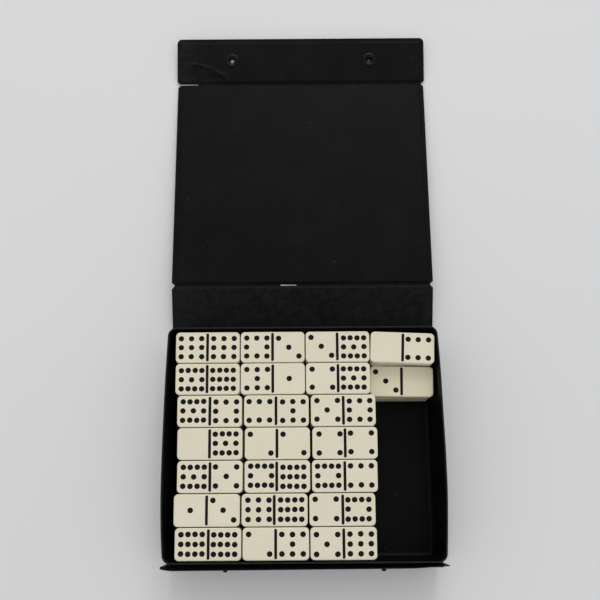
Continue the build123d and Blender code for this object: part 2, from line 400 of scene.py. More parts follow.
def end_material(wiring, shader, colour, roughness, height, depth, **constants):
    """Links colour and roughness, sets the shader's constants, and adds a bump.

    The bump's height lies between 0 and 1, and its depth is in metres."""
    wiring.put(shader.inputs["Base Color"], colour)
    wiring.put(shader.inputs["Roughness"], roughness)
    for key, value in constants.items():
        shader.inputs[key.replace("_", " ")].default_value = value
    bump = wiring.add("ShaderNodeBump", Height=height, Strength=1.0, Distance=depth)
    wiring.put(shader.inputs["Normal"], bump.outputs["Normal"])


# %% [markdown]
# ### Vinyl
# The lining and the outer ply are the same black sheet. The lining is the smoother and duller of
# the two. Wear shows as a greyer black along the welded edges, and dust lies on both. On the
# lining of the spine and the flap it also carries an even lightening, which on the spine is
# painted light, and a painted sheen that fades from the left end.

# %% Vinyl


def make_vinyl(name, colour, rubbed, roughness, depth):
    """Embossed black vinyl: handling marks, worn welds and a little dust over the grain."""
    material, wiring, shader, place = new_material(name)
    marked = wiring.group(marks_group, Coordinates=place, Colour=colour, Rubbed_colour=rubbed,
                          Amount=0.6, Roughness=roughness)
    # The lining's edge value also holds an even lightening, painted light on the spine, and a painted
    # sheen from the left end.
    edge_toned = wiring.group(wear_and_painted_light_group, Coordinates=place, Nearness=wiring.carried("edge"),
                        Colour=marked["Colour"], Bare_colour=(0.022, 0.022, 0.023, 1), Amount=0.45)
    dusty = wiring.group(dust_group, Coordinates=place, Colour=edge_toned["Colour"],
                         Dust_colour=grey(0.25), Amount=0.22)
    grain = wiring.group(grain_group, Coordinates=place)
    end_material(wiring, shader, dusty["Colour"], marked["Roughness"], grain["Height"], depth,
                 Specular_IOR_Level=0.045)
    return material


lining_vinyl = make_vinyl("lining vinyl", (0.0036, 0.0037, 0.0042, 1), (0.0082, 0.0083, 0.009, 1),
                          roughness=0.48, depth=0.05 * MM)
outer_vinyl = make_vinyl("outer vinyl", (0.0036, 0.0037, 0.0041, 1), (0.01, 0.01, 0.0105, 1),
                         roughness=0.5, depth=0.09 * MM)
print("vinyl:", lining_vinyl.name, "and", outer_vinyl.name)

# %% [markdown]
# ### Tray plastic
# The tray is drawn from a sheet of black plastic, so it is smooth, with a very fine orange peel.
# Its rim is rubbed grey by the lid.

# %% Tray plastic


def make_tray_plastic():
    """Smooth black plastic with handling marks, a rubbed rim, dust and fine orange peel."""
    material, wiring, shader, place = new_material("tray plastic")
    marked = wiring.group(marks_group, Coordinates=place, Colour=(0.0018, 0.0018, 0.0019, 1),
                          Rubbed_colour=grey(0.004), Amount=0.5, Roughness=0.42)
    edge_toned = wiring.group(wear_and_painted_light_group, Coordinates=place, Nearness=wiring.carried("edge"),
                        Colour=marked["Colour"], Bare_colour=grey(0.03), Amount=0.5)
    dusty = wiring.group(dust_group, Coordinates=place, Colour=edge_toned["Colour"],
                         Dust_colour=(0.3, 0.3, 0.29, 1), Amount=0.3)
    end_material(wiring, shader, dusty["Colour"], marked["Roughness"],
                 wiring.noise(place, scale=900.0, detail=3.0), 0.03 * MM, Specular_IOR_Level=0.07)
    return material


tray_plastic = make_tray_plastic()
print("made", tray_plastic.name)

# %% [markdown]
# ### Tile ivory
# A tile is one piece of cream resin, polished, with black paint in its hollows. The mesh carries
# the signed distance to the nearest hollow's rim, so the paint's edge is sharp on a coarse mesh.
# Resin yellows unevenly, so the colour of each tile differs a little from its neighbour's, and the
# sides carry a painted brown shade that deepens towards the seam between two layers.

# %% Tile ivory


def make_ivory():
    """Cream resin with clouds of two tints, and black paint where the paint value is below zero."""
    material, wiring, shader, place = new_material("tile ivory")
    clouds = wiring.between(wiring.noise(place, scale=60.0, detail=3.0), 0.3, 0.7)
    # The tint holds each tile's random yellowing, and painted shade on the tile that lies lower.
    yellowing_and_painted_shade = wiring.math("ADD", wiring.math("MULTIPLY", clouds, 0.35), wiring.carried("tint"),
                           clamp=True)
    cream = wiring.mix(yellowing_and_painted_shade, (0.715, 0.675, 0.545, 1), (0.68, 0.62, 0.47, 1))
    # A tile's edge value is painted shade: this brown darkens its sides towards the seams and gaps.
    edge_toned = wiring.group(wear_and_painted_light_group, Coordinates=place, Nearness=wiring.carried("edge"),
                        Colour=cream, Bare_colour=(0.26, 0.17, 0.08, 1), Amount=0.8)
    painted = wiring.between(wiring.carried("paint"), -0.03, 0.03, 1.0, 0.0)
    colour = wiring.mix(painted, edge_toned["Colour"], (0.0015, 0.0015, 0.0017, 1))
    end_material(wiring, shader, colour, wiring.between(painted, 0.0, 1.0, 0.3, 0.5),
                 wiring.noise(place, scale=500.0, detail=3.0), 0.01 * MM, Specular_IOR_Level=0.16,
                 Subsurface_Weight=0.2, Subsurface_Radius=(1.0, 0.6, 0.25), Subsurface_Scale=2 * MM)
    return material


tile_ivory = make_ivory()
print("made", tile_ivory.name)

# %% [markdown]
# ### Snap metal, enamel, board and backing
# The snaps are pressed from thin brass and plated black, and the plating is gone where they rub.
# The caps are enamelled. The boards inside the cover are grey pulp board. Vinyl has a pale woven
# backing, which shows only where a fold is torn.

# %% Snap metal, enamel, board and backing


def make_metal(name, colour, bare, roughness, amount):
    """Metal with a thin coating that is rubbed away at its edges."""
    material, wiring, shader, place = new_material(name)
    edge_toned = wiring.group(wear_and_painted_light_group, Coordinates=place, Nearness=wiring.carried("edge"),
                        Colour=colour, Bare_colour=bare, Amount=amount)
    smudge = wiring.between(wiring.noise(place, scale=800.0, detail=3.0), 0.2, 0.8,
                            roughness - 0.06, roughness + 0.08)
    end_material(wiring, shader, edge_toned["Colour"], smudge, wiring.noise(place, scale=2500.0, detail=2.0),
                 0.006 * MM, Metallic=1.0)
    return material


def make_board_pulp():
    """Grey board: fibres as noise stretched along one direction."""
    material, wiring, shader, place = new_material("board pulp")
    fibres = wiring.noise(wiring.drawn_out(place, 6.0), scale=500.0, detail=4.0, roughness=0.7)
    colour = wiring.mix(fibres, (0.2, 0.18, 0.15, 1), (0.38, 0.35, 0.3, 1))
    end_material(wiring, shader, colour, wiring.between(fibres, 0.0, 1.0, 0.85, 0.95), fibres,
                 0.06 * MM)
    return material


def make_backing_cloth():
    """The pale woven backing of vinyl: two sets of threads that cross."""
    material, wiring, shader, place = new_material("backing cloth")
    threads, crossing = (
        wiring.add("ShaderNodeTexWave", {"bands_direction": direction}, Vector=place, Scale=900.0,
                   Distortion=1.5).outputs["Fac"] for direction in ("X", "Y"))
    weave = wiring.math("MAXIMUM", threads, crossing)
    colour = wiring.mix(weave, grey(0.32), grey(0.6))
    end_material(wiring, shader, colour, wiring.between(weave, 0.0, 1.0, 0.8, 0.95), weave,
                 0.08 * MM)
    return material


plated_metal = make_metal("plated snap metal", (0.012, 0.012, 0.013, 1), (0.5, 0.49, 0.47, 1),
                          roughness=0.3, amount=0.75)
bright_metal = make_metal("bright snap metal", grey(0.03), (0.42, 0.41, 0.39, 1),
                          roughness=0.3, amount=0.8)
cap_enamel = make_metal("cap enamel", (0.02, 0.02, 0.021, 1), (0.2, 0.19, 0.18, 1),
                        roughness=0.3, amount=0.5)
board_pulp = make_board_pulp()
backing_cloth = make_backing_cloth()
print("materials:", len(bpy.data.materials))

# %% [markdown]
# ## Meshes from arrays
# Every new surface is a grid of points worked out as whole numpy arrays. These helpers turn a
# grid's shape into faces, and put points, faces and attributes into a mesh in one go each.

# %% Mesh helpers


def grid_faces(rows, columns, first=0, closed=False):
    """Quads of a grid of points, numbered row by row; closed joins the last column to the first."""
    row, column = np.meshgrid(np.arange(rows - 1), np.arange(columns - 1 + closed), indexing="ij")
    following = (column + 1) % columns
    quads = np.stack([row * columns + column, row * columns + following,
                      (row + 1) * columns + following, (row + 1) * columns + column], axis=-1)
    return first + quads.reshape(-1, 4)


def grid_rim(rows, columns):
    """The points round a grid's rim, anticlockwise from its first point."""
    across, down = np.arange(columns - 1), np.arange(rows - 1)
    last = rows * columns - 1
    return np.concatenate([across, down * columns + columns - 1, last - across,
                           last + 1 - columns - down * columns])


def rim_faces(lower, upper):
    """Quads that join two loops of points one to one."""
    return np.stack([lower, np.roll(lower, -1), np.roll(upper, -1), upper], axis=-1)


def make_piece(name, points, quads, caps, material, body, slot, **attributes):
    """Puts points, quads and n-sided caps into a mesh, and lets the piece ride on a body.

    Without a body the piece is attached to none."""
    mesh = bpy.data.meshes.new(name)
    corners = np.concatenate([quads.ravel(), *caps]).astype(np.int32)
    sizes = np.array([4] * len(quads) + [len(cap) for cap in caps], np.int32)
    mesh.vertices.add(len(points))
    mesh.vertices.foreach_set("co", points.astype(np.float32).ravel())
    mesh.loops.add(len(corners))
    mesh.loops.foreach_set("vertex_index", corners)
    mesh.polygons.add(len(sizes))
    mesh.polygons.foreach_set("loop_start", np.cumsum(sizes, dtype=np.int32) - sizes)
    mesh.polygons.foreach_set("use_smooth", sizes == 4)
    for key, values in attributes.items():
        attribute = mesh.attributes.new(key, "FLOAT", "POINT")
        spread = np.broadcast_to(values, len(points)).astype(np.float32)
        attribute.data.foreach_set("value", spread)
    mesh.update(calc_edges=True)
    mesh.validate()
    mesh.materials.append(material)
    piece = bpy.data.objects.new(name, mesh)
    bpy.context.scene.collection.objects.link(piece)
    if body:
        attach(piece, body)
    return piece


print("quads between 3 by 4 points:", len(grid_faces(3, 4)), "and", len(grid_faces(3, 4, closed=True)),
      "when closed")

# %% [markdown]
# Nothing on a used object is quite even. Two more helpers serve all the shapes below: a step with
# soft ends, and a ripple, which is a smooth surface through random heights.

# %% Shape helpers
ripple_cells = 64


def smooth(share):
    """Goes from 0 to 1 with level ends: three squares less two cubes of the clipped share."""
    clipped = np.clip(share, 0, 1)
    return clipped * clipped * (3 - 2 * clipped)


def ripple(x, y, cell, seed):
    """Seeded random heights, from -1 to 1, at the corners of square cells, blended smoothly."""
    heights = np.random.default_rng(seed).uniform(-1, 1, (ripple_cells, ripple_cells))
    column, row = np.floor(x / cell).astype(int), np.floor(y / cell).astype(int)
    across, along = smooth(x / cell - column), smooth(y / cell - row)
    left, right = column % ripple_cells, (column + 1) % ripple_cells
    near, far = (heights[line % ripple_cells, left] * (1 - across)
                 + heights[line % ripple_cells, right] * across for line in (row, row + 1))
    return near * (1 - along) + far * along


def graded(length, margin, fine, coarse):
    """Places from 0 to length: fine steps within the margin at both ends, coarse ones between."""
    edge = np.linspace(0, margin, int(round(margin / fine)) + 1)
    coarse_count = int(round((length - 2 * margin) / coarse)) + 1
    middle = np.linspace(margin, length - margin, coarse_count)
    return np.concatenate([edge[:-1], middle, length - edge[-2::-1]])


print("a ripple repeats after", ripple_cells, "cells")

# %% [markdown]
# ## The cover's panels
# A panel is a board between two plies of vinyl, which are welded together all round it. One grid
# gives a ply's face and its underside. The outline is kept by moving the two ends of each column
# of the grid. At a fold the corner is cut off straight, which makes the small notches at the ends
# of the folds, and at a free edge it follows a quarter circle. Two folds are torn for a short way,
# and there the panels' edges stand a little further apart.

# %% Panel outline
fold_gap = 0.4 * MM
fold_notch = 2.4 * MM
far_corner = {"front": 2.4 * MM, "flap": 4.0 * MM}
tears = {"flap": (-110 * MM, -90 * MM), "lid": (-18 * MM, -5 * MM)}
tear_open, tear_closed = 0.1 * MM, 0.08 * MM


def torn(fold_name, x):
    """How far a tear moves a panel's edge: open at its start, run out to a crack at its end."""
    if fold_name not in tears:
        return 0 * x
    start, end = tears[fold_name]
    share = (x - start) / (end - start)
    return np.where((share > 0) & (share < 1), tear_open * (1 - share) - tear_closed * share, 0)


def column_ends(panel, x):
    """Where the panel starts and ends at each x: a straight cut at a fold, an arc at a corner."""
    into_corner = np.abs(x) - (panel["width"] / 2 - fold_notch)
    cut = fold_gap + np.maximum(into_corner, 0)
    near = cut + torn(panel["name"], x)
    if panel["far_fold"]:
        following = {"spine": "lid", "lid": "flap"}.get(panel["name"])
        return near, panel["length"] - cut - torn(following, x)
    radius = far_corner[panel["name"]]
    into_arc = np.maximum(np.abs(x) - (panel["width"] / 2 - radius), 0)
    return near, panel["length"] - radius + np.sqrt(np.maximum(radius**2 - into_arc**2, 0))


print("torn folds:", list(tears))

# %% [markdown]
# Over the weld the ply is thin and flat, with a pressed line along it. At the board it steps up,
# and over the board it is drawn tight, with small puckers that run in from the weld and a broad
# slackness in the middle.

# %% Ply surface
weld_height = 0.3 * MM
ply_height = 1.4 * MM
ply_thickness = 0.4 * MM
side_margin = 4.5 * MM
hinge_margin = 2.4 * MM
board_step = 1.3 * MM
weld_line_in, weld_line_width, weld_line_depth = 1.5 * MM, 0.3 * MM, 0.1 * MM
pucker_reach = 7 * MM
pucker_wave, pucker_height = 5 * MM, 0.16 * MM
slack_wave, slack_height = 26 * MM, 0.16 * MM
small_wave, small_height = 11 * MM, 0.05 * MM


def ply_surface(panel, x, y):
    """A ply's height over the mid-plane, its step from weld to board, and distances to both."""
    far_margin = hinge_margin if panel["far_fold"] else side_margin
    over_board = np.minimum(panel["width"] / 2 - side_margin - np.abs(x),
                            np.minimum(y - hinge_margin, panel["length"] - far_margin - y))
    step = smooth((over_board + board_step) / board_step)
    from_edge = np.minimum(panel["width"] / 2 - np.abs(x), np.minimum(y, panel["length"] - y))
    weld_line = np.exp(-((from_edge - weld_line_in) / weld_line_width) ** 2)
    pressed = weld_line_depth * weld_line * (1 - step)
    return weld_height + (ply_height - weld_height) * step - pressed, step, from_edge, over_board


def puckers(x, y, over_board, seed):
    """Small waves that die away from the weld, on top of a broad slackness over the board."""
    near_weld = np.exp(-np.maximum(over_board, 0) / pucker_reach)
    fine = ripple(x, y, pucker_wave, seed) * pucker_height * near_weld
    broad = ripple(x, y, slack_wave, seed + 1) * slack_height
    return fine + broad + ripple(x, y, small_wave, seed + 2) * small_height


print("a panel is", round(2 * ply_height / MM, 1), "mm thick")

# %% [markdown]
# The flap has been bent back and forth by its snaps, and shows a long crease at its left end and
# short ones at its right end and by a snap. A crease is a narrow ridge along a curve, which fades
# at both ends. The creases are given in millimetres, across and along the flap.

# %% Creases of the flap
flap_crease_lines = (
    {"start": (-103, 17.5), "end": (-61, 0.5), "bow": 5.5, "height": 0.8, "width": 1.3},
    {"start": (-86, 10), "end": (-63, 5), "bow": 1.5, "height": 0.55, "width": 1.2},
    {"start": (100, 3), "end": (97, 24), "bow": 1, "height": 0.5, "width": 1.9},
    {"start": (-52, 22), "end": (-44, 28), "bow": 1, "height": 0.2, "width": 0.9},
)
crease_fade = 0.25
crease_on_outer_ply = -0.25


def crease(x, y, start, end, bow, height, width):
    """A ridge along the curve from start to end that bows sideways, highest in its middle.

    Its section is a bell curve, and the bow is a parabola of the share along the line."""
    (x0, y0), (x1, y1) = start, end
    length = sqrt((x1 - x0) ** 2 + (y1 - y0) ** 2)
    along = ((x - x0) * (x1 - x0) + (y - y0) * (y1 - y0)) / length**2
    across = ((y - y0) * (x1 - x0) - (x - x0) * (y1 - y0)) / length
    on_curve = across - bow * 4 * along * (1 - along)
    fade = smooth(along / crease_fade) * smooth((1 - along) / crease_fade)
    return height * fade * np.exp(-((on_curve / width) ** 2))


def flap_creases(x, y):
    """All the creases of the flap added up."""
    return MM * sum(crease(x / MM, y / MM, **line) for line in flap_crease_lines)


print("creases:", len(flap_crease_lines))

# %% [markdown]
# Two more things shape single panels. The front's top weld leans outwards, most at its left. The
# flap's lining has a pit at each snap, where the socket's bore takes the stud, and its outer ply
# rises a little under the cap. The grids are finer there.

# %% Lean of the front and pits of the snaps
front_lean = 2.2 * MM
lean_height = 4.6 * MM
pit_radius, pit_slope = 2.9 * MM, 0.5 * MM
pit_floor = -1.17 * MM
pit_skin = 0.15 * MM
under_cap_rise = 0.4 * MM
pit_step, pit_step_least = 0.36 * MM, 0.12 * MM
pit_steps_each_way = 12


def lean(panel, x, y):
    """How far the front leans out of its plane over its top weld: less at both ends."""
    if panel["name"] != "front":
        return 0 * x
    across = x / panel["width"] + 0.5
    share = smooth(0.4 + across / 0.08) * (1 - 0.4 * across) * smooth((1 - across) / 0.14)
    return front_lean * share * smooth(1 - (panel["length"] - y) / lean_height)


def snap_places():
    """The sockets' places on the flap, across it and along it."""
    boxes = [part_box(f"snap_socket_{side}") for side in ("left", "right")]
    centres = [np.array((low + high) / 2) - panels["flap"]["start"] for low, high in boxes]
    return [(centre[0], float(centre @ panels["flap"]["along"])) for centre in centres]


def with_fine_steps(places, centre, scale):
    """Adds fine steps round a centre to a row of places, less any that nearly coincide."""
    fine = np.arange(-pit_steps_each_way, pit_steps_each_way + 1) * pit_step * scale
    merged = np.union1d(places, centre + fine)
    return merged[np.concatenate([[True], np.diff(merged) > pit_step_least * scale])]


def snap_pits(x, y):
    """1 inside a snap's bore and 0 outside its ring, with a steep slope between."""
    nearest = np.minimum(*[np.hypot(x - across, y - along) for across, along in snap_places()])
    return smooth((pit_radius - nearest) / pit_slope + 0.5)


print("sockets in mm:", [[round(c / MM, 1) for c in place] for place in snap_places()])

# %% [markdown]
# Now a ply's points can be worked out. Its grid is fine near the edges, where the step and the weld
# line are, and coarse in the middle. The face and the underside lie one thickness apart over the
# board, and come together at the panel's mid-plane over the weld.

# %% Points of a ply
edge_margin_across, edge_margin_along, edge_step = 7 * MM, 6 * MM, 0.45 * MM
coarse_step = {"bottom": 3.0 * MM}
usual_coarse_step = 1.6 * MM


def ply_grid(panel):
    """Points of a ply across and along its panel, with fine steps where the ply bends."""
    width, length = panel["width"], panel["length"]
    coarse = coarse_step.get(panel["name"], usual_coarse_step)
    x = graded(width, edge_margin_across, edge_step, coarse) - width / 2
    share = graded(1.0, edge_margin_along / length, edge_step / length, coarse / length)
    if panel["name"] == "flap":
        (left, along), (right, _) = snap_places()
        x = with_fine_steps(with_fine_steps(x, left, 1), right, 1)
        share = with_fine_steps(share, along / length, 1 / length)
    near, far = column_ends(panel, x)
    y = near + (far - near) * share[:, None]
    return np.broadcast_to(x, y.shape), y


def ply_heights(panel, kind, x, y, seed):
    """Heights of a ply's face and underside over the mid-plane, and the distance from its edge."""
    height, step, from_edge, over_board = ply_surface(panel, x, y)
    waves = puckers(x, y, over_board, seed)
    lining = kind == "lining"
    height = height + (waves if lining else np.minimum(waves, 0)) * step
    if panel["name"] != "flap":
        return height, np.maximum(height - ply_thickness, 0), from_edge
    height = height + flap_creases(x, y) * step * (1 if lining else crease_on_outer_ply)
    under = np.maximum(height - ply_thickness, 0)
    pit = snap_pits(x, y)
    if lining:
        return (height + (pit_floor - height) * pit, under + (pit_floor - pit_skin - under) * pit,
                from_edge)
    return height + under_cap_rise * pit, under + under_cap_rise * pit, from_edge


print("points across and along the lid:", ply_grid(panels["lid"])[0].shape[::-1])

# %% [markdown]
# The face and the underside are two copies of the grid, joined by a rim. The lining faces up on
# the open case, and inwards on the front panel. On the lining of the flap and the spine, an even
# lightening and one that fades from the left end are added to the edges' wear. On the spine the
# even share is painted light, for a panel that faces a little away from the lamp, and the share from
# the left end is a painted sheen.

# %% Plies and boards
edge_wear_width = 0.8 * MM
# Even lightening and painted sheen from the left end, on the lining; the spine's even share is painted
# light.
lining_lightening = {"flap": (0.38, 0.4), "spine": (0.68, 0.15)}
painted_sheen_fade = 24 * MM


def make_ply(panel, side, kind, seed):
    """One ply as a closed thin sheet: its face, its underside and the rim between them.

    A point is the panel's start, plus x across, plus y along it, plus its height times the side
    it lies on, and plus the lean."""
    x, y = ply_grid(panel)
    height, under, from_edge = ply_heights(panel, kind, x, y, seed)
    in_plane = panel["start"] + x[..., None] * np.array([1, 0, 0]) + y[..., None] * panel["along"]
    bend = lean(panel, x, y)
    sheets = [in_plane + (side * z + bend)[..., None] * panel["up"] for z in (height, under)]
    points = np.concatenate([sheet.reshape(-1, 3) for sheet in sheets])
    rim, face = grid_rim(*x.shape), grid_faces(*x.shape)
    quads = np.concatenate([face, face[:, ::-1] + x.size, rim_faces(rim + x.size, rim)])
    lining = kind == "lining"
    # Painted light on the lining: an even lightening and a painted sheen that fades from the left end.
    even_lightening, left_painted_sheen = lining_lightening.get(panel["name"], (0, 0)) if lining else (0, 0)
    lightening = even_lightening + left_painted_sheen * np.exp(-(x + panel["width"] / 2) / painted_sheen_fade)
    edge_amount = np.maximum(np.exp(-from_edge / edge_wear_width), lightening)
    name = panel["name"]
    piece = make_piece(f"{name}_{kind}_vinyl", points, quads[:, ::side], [],
                       lining_vinyl if lining else outer_vinyl,
                       "case" if name in ("front", "bottom") else name,
                       "lining_vinyl" if lining else "cover_vinyl", edge=np.tile(edge_amount.ravel(), 2))
    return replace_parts(piece, f"{name}_{kind}_ply")


for number, panel in enumerate(panels.values()):
    lining_side = -1 if panel["name"] == "front" else 1
    make_ply(panel, lining_side, "lining", seed=10 + 10 * number)
    make_ply(panel, -lining_side, "outer", seed=15 + 10 * number)
for name in panels:
    board = frame["nodes"][f"{name}_board"]
    board.data.materials.clear()
    board.data.materials.append(board_pulp)
print("plies:", 2 * len(panels))

# %% [markdown]
# ## The folds
# Between two panels the plies are welded into one web, which is the hinge. It runs from inside
# one weld to inside the next and curves smoothly over the fold, and a web whose joint turns is left
# on neither body. The fold between bottom and front never moves and rides on the case. Where the
# fold is torn, the web is gone and the pale backing of the vinyl shows in a slit.

# %% Fold webs
web_reach = 1.1 * MM
web_thickness = 0.5 * MM
web_sag, web_wave = 0.1 * MM, 6 * MM
web_step = 1.5 * MM
web_wear = 0.35
backing_thickness = 0.2 * MM
backing_inset = 2 * MM


def make_web(name, fold_lines, span, bodies, material, thickness):
    """A web along x: a curve from one panel over the fold line to the next, with a thickness.

    The curve is a quadratic one: the two ends with weights (1-t) squared and t squared, and the
    fold line itself with weight 2t(1-t). It sags unevenly along x, most in its middle."""
    t = np.linspace(0, 1, 13)[:, None]
    at, first, second = (np.array(v)[1:] for v in fold_lines)
    start, end = at + web_reach * first, at + web_reach * second
    curve = (1 - t) ** 2 * start + 2 * t * (1 - t) * at + t**2 * end
    slope = 2 * (1 - t) * (at - start) + 2 * t * (end - at)
    slope = slope / np.linalg.norm(slope, axis=1, keepdims=True)
    half = thickness / 2 * np.stack([-slope[:, 1], slope[:, 0]], axis=1)
    section = np.concatenate([curve + half, (curve - half)[::-1]])
    x = np.linspace(*span, max(int((span[1] - span[0]) / web_step), 4))
    x_grid, y_grid = np.meshgrid(x, section[:, 0], indexing="ij")
    middle = 4 * t * (1 - t)
    sag = ripple(x_grid, y_grid, web_wave, seed=7) * np.concatenate([middle, middle[::-1]]).ravel()
    points = np.stack([x_grid, y_grid, section[:, 1] + web_sag * sag], axis=-1)
    rows, columns = x_grid.shape
    ring = np.arange(columns)
    quads = grid_faces(rows, columns, closed=True)[:, ::-1]
    caps = [ring, (rows - 1) * columns + ring[::-1]]
    moving = len(bodies) == 2
    piece = make_piece(name, points.reshape(-1, 3), quads, caps, material,
                       None if moving else bodies[0], "cover_vinyl", edge=web_wear)
    if moving:
        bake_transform(piece)


def joined_webs(first_name, second_name, bodies):
    """The webs between two panels that a joint joins, and the pale backing where one is torn."""
    first, second = panels[first_name], panels[second_name]
    fold_lines = second["start"], -first["along"], second["along"]
    half = min(first["width"], second["width"]) / 2 - fold_notch
    start, end = tears.get(second_name, (half, half))
    spans = [span for span in ((-half, start), (end, half)) if span[0] < span[1]]
    for number, span in enumerate(spans):
        make_web(f"{second_name}_fold_web_{number + 1}", fold_lines, span, bodies, outer_vinyl,
                 web_thickness)
    if second_name in tears:
        span = (max(start, backing_inset - first["width"] / 2), end)
        make_web(f"{second_name}_fold_torn_backing", fold_lines, span, bodies, backing_cloth,
                 backing_thickness)


joined_webs("bottom", "spine", ("case", "spine"))
joined_webs("spine", "lid", ("spine", "lid"))
joined_webs("lid", "flap", ("lid", "flap"))
front_half = panels["front"]["width"] / 2 - fold_notch
make_web("front_fold_web", (front_foot, (0, 1, 0), (0, 0, 1)), (-front_half, front_half), ("case",),
         outer_vinyl, web_thickness)
print("folds joined: 4")

# %% [markdown]
# ## The tray
# The tray is a sheet of plastic drawn over a block. Its plan is straight in front and at the
# back, and its side walls bow outwards towards the rim. The shell is one profile, from the foot
# up the outside, over the round rim and down the inside to the floor, carried round the plan.
# The plan itself changes with height, so plan and profile are worked out together.

# %% Tray plan
tray_low, tray_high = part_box("tray")
tray_depth = tray_high.y - tray_low.y
rim_z, foot_z = tray_high.z, tray_low.z
tray_corner = 7.0 * MM
tray_draft = 0.6 * MM
foot_bow, rim_bow = 0.1 * MM, 2.6 * MM
bow_place = 0.66
rear_width, front_width = 207.6 * MM, 209.6 * MM
corner_steps, side_steps, end_steps = 14, 60, 24


def side_place(share, bow):
    """Half width of the tray along its depth: a straight splay plus the arc of the bow.

    share is 0 at the rear and 1 in front. The bow is a parabola on each side of its place."""
    reach = np.where(share < bow_place, bow_place, 1 - bow_place)
    splay = (front_width - rear_width) / 2 * share
    return rear_width / 2 + splay + bow * (1 - ((share - bow_place) / reach) ** 2)


def tray_plan():
    """The plan, anticlockwise: each point's angle at its corner, share of the depth, and side.

    The side runs from -1 at the left to 1 at the right."""
    angle, share, side = [], [], []
    for quarter in range(4):
        steps = end_steps if quarter in (0, 2) else side_steps
        line = np.linspace(0, 1, steps, endpoint=False)
        zero, one = 0 * line, 0 * line + 1
        turn = np.linspace(0, pi / 2, corner_steps, endpoint=False) + quarter * pi / 2
        angle += [turn, np.full(steps, (quarter + 1) * pi / 2)]
        share += [np.full(corner_steps, (0, 0, 1, 1)[quarter]), (zero, line, one, 1 - line)[quarter]]
        side += [np.full(corner_steps, (1, -1, -1, 1)[quarter]),
                 (1 - 2 * line, -one, 2 * line - 1, one)[quarter]]
    return [np.concatenate(part) for part in (angle, share, side)]


def tray_points(inset, height):
    """Points of the plan for each inset and height: the centre of a corner plus a radius.

    The radius shrinks with the inset. Insets and heights are columns, and the plan runs along
    the rows."""
    angle, share, side = tray_plan()
    rise = (height - foot_z) / (rim_z - foot_z)
    drawn_in = tray_draft * (1 - rise)
    bow = foot_bow + (rim_bow - foot_bow) * rise
    corner_share = tray_corner / tray_depth
    along_share = corner_share + (1 - 2 * corner_share) * share
    centre_x = side * (side_place(along_share, bow) - drawn_in - tray_corner)
    centre_y = (tray_depth / 2 - drawn_in - tray_corner) * (1 - 2 * share)
    radius = tray_corner - inset
    return np.stack([centre_x + radius * np.cos(angle), centre_y + radius * np.sin(angle),
                     np.broadcast_to(height, (len(height), len(angle)))], axis=-1)


print("tray depth in mm:", round(tray_depth / MM, 1))

# %% [markdown]
# The profile goes round a soft foot, up the outer wall, over a half-round rim, down the inner
# wall and round a wide arc to the floor. The side walls of a tray this thin are never quite
# straight, so above the floor they wave inwards a little.

# %% Tray profile and shell
tray_wall = 1.6 * MM
floor_z = foot_z + tray_wall
foot_radius, inner_radius = 1.2 * MM, 3.4 * MM
wave_length, wave_depth, wave_start = 40 * MM, 0.25 * MM, 0.3
wave_rise = 12 * MM
side_walls_from = 0.09
rim_wear_height = 0.5 * MM


def tray_profile():
    """Inset and height along the shell: foot, outer wall, rim, inner wall and floor arc."""
    quarter, over = np.linspace(0, pi / 2, 7), np.linspace(0, pi, 11)
    growing, shrinking = 1 - np.cos(quarter), 1 - np.sin(quarter)
    rim_radius = tray_wall / 2
    shoulder = rim_z - rim_radius
    up = np.linspace(foot_z + foot_radius, shoulder, 14)[1:-1]
    down = np.linspace(shoulder, floor_z + inner_radius, 14)[1:-1]
    parts = (
        (foot_radius * shrinking, foot_z + foot_radius * growing),
        (0 * up, up),
        (rim_radius * (1 - np.cos(over)), shoulder + rim_radius * np.sin(over)),
        (0 * down + tray_wall, down),
        (tray_wall + inner_radius * growing, floor_z + inner_radius * shrinking),
    )
    return np.concatenate([np.stack(part, axis=1) for part in parts])


def make_tray():
    """The shell: the profile carried round the plan, closed by the floor's two faces."""
    profile = tray_profile()
    points = tray_points(profile[:, :1], profile[:, 1:])
    rows, columns = points.shape[:2]
    x, y, z = (points[..., axis] for axis in range(3))
    waves = ripple(x + wave_start, y + wave_start, wave_length, seed=3) * wave_depth
    outwards = np.sign(x) * (np.abs(x) > side_walls_from)
    points[..., 0] += outwards * np.minimum(waves * smooth((z - floor_z) / wave_rise), 0)
    ring = np.arange(columns)
    caps = [ring[::-1], (rows - 1) * columns + ring]
    edge_amount = np.repeat(np.exp(-(rim_z - profile[:, 1]) / rim_wear_height), columns)
    piece = make_piece("tray_shell", points.reshape(-1, 3), grid_faces(rows, columns, closed=True),
                       caps, tray_plastic, "case", "tray_plastic", edge=edge_amount)
    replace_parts(piece, "tray")
    print("tray shell:", rows * columns, "points")


make_tray()

# %% [markdown]
# ## The tiles
# The numbers on each tile are read from the photograph, row by row from the back. A half shows
# up to twelve dots in a fixed pattern. The patterns build on each other, so each is written as
# the one before it with something added.

# %% Numbers and patterns
tile_numbers = (
    ((9, 9), (8, 3), (3, 11), (0, 6)),
    ((11, 12), (7, 1), (4, 11), (3, 0)),
    ((11, 8), (6, 7), (5, 8)),
    ((0, 11), (2, 2), (4, 4)),
    ((11, 5), (10, 12), (10, 6)),
    ((1, 3), (9, 12), (4, 10)),
    ((12, 12), (2, 7), (5, 9)),
)


